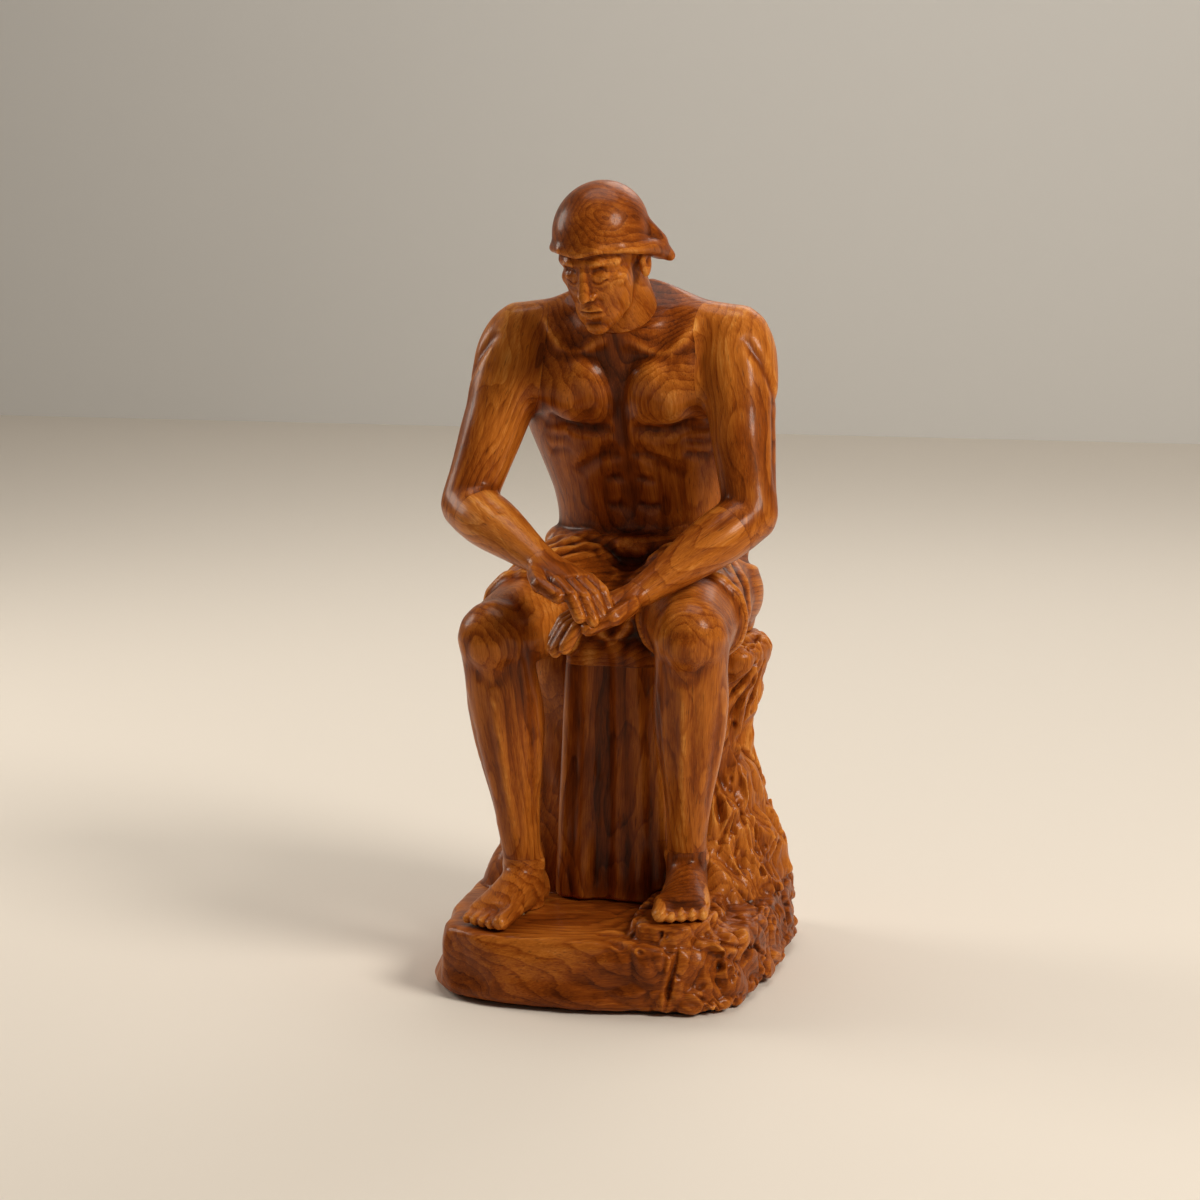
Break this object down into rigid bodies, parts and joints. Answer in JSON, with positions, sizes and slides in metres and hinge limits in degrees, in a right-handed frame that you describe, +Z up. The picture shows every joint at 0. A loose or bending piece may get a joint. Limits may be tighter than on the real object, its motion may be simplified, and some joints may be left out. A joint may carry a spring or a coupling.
{
  "type": "contemplative figure carving",
  "caption": "Wood carving of a seated, thinking figure with bowed head and folded hands on a rough rock, pegged and glued from carved blocks, with a felt base to stand on.",
  "frame": {"origin": "on the table under the middle of the carving's box", "axes": "+Z up, -Y the way the figure faces, +X its left side"},
  "size_m": [0.1024, 0.1196, 0.2344],
  "materials": {
    "polished_wood": "satin wax over reddish-brown hardwood",
    "hewn_wood": "gouged and waxed reddish-brown hardwood",
    "peg_wood": "bare pale hardwood",
    "felt": "matte pressed felt"
  },
  "bodies": {
    "root": {"base_felt": "felt", "plinth": "hewn_wood", "seat_rock": "hewn_wood", "seat_foot_peg_right": "peg_wood", "seat_foot_peg_left": "peg_wood", "seat_top_peg_right": "peg_wood", "seat_top_peg_left": "peg_wood", "draped_lap": "polished_wood", "cloth_fall": "polished_wood", "torso": "polished_wood", "head": "polished_wood", "waist_peg_right": "peg_wood", "waist_peg_left": "peg_wood", "neck_peg": "peg_wood", "right_upper_arm": "polished_wood", "right_forearm": "polished_wood", "right_hand": "polished_wood", "right_shoulder_peg": "peg_wood", "right_elbow_peg": "peg_wood", "right_wrist_peg": "peg_wood", "left_upper_arm": "polished_wood", "left_forearm": "polished_wood", "left_hand": "polished_wood", "left_shoulder_peg": "peg_wood", "left_elbow_peg": "peg_wood", "left_wrist_peg": "peg_wood", "right_leg": "polished_wood", "right_foot": "polished_wood", "right_thigh_peg": "peg_wood", "right_ankle_peg": "peg_wood", "right_sole_peg": "peg_wood", "left_leg": "polished_wood", "left_foot": "polished_wood", "left_thigh_peg": "peg_wood", "left_ankle_peg": "peg_wood", "left_sole_peg": "peg_wood"}
  },
  "joints": []
}
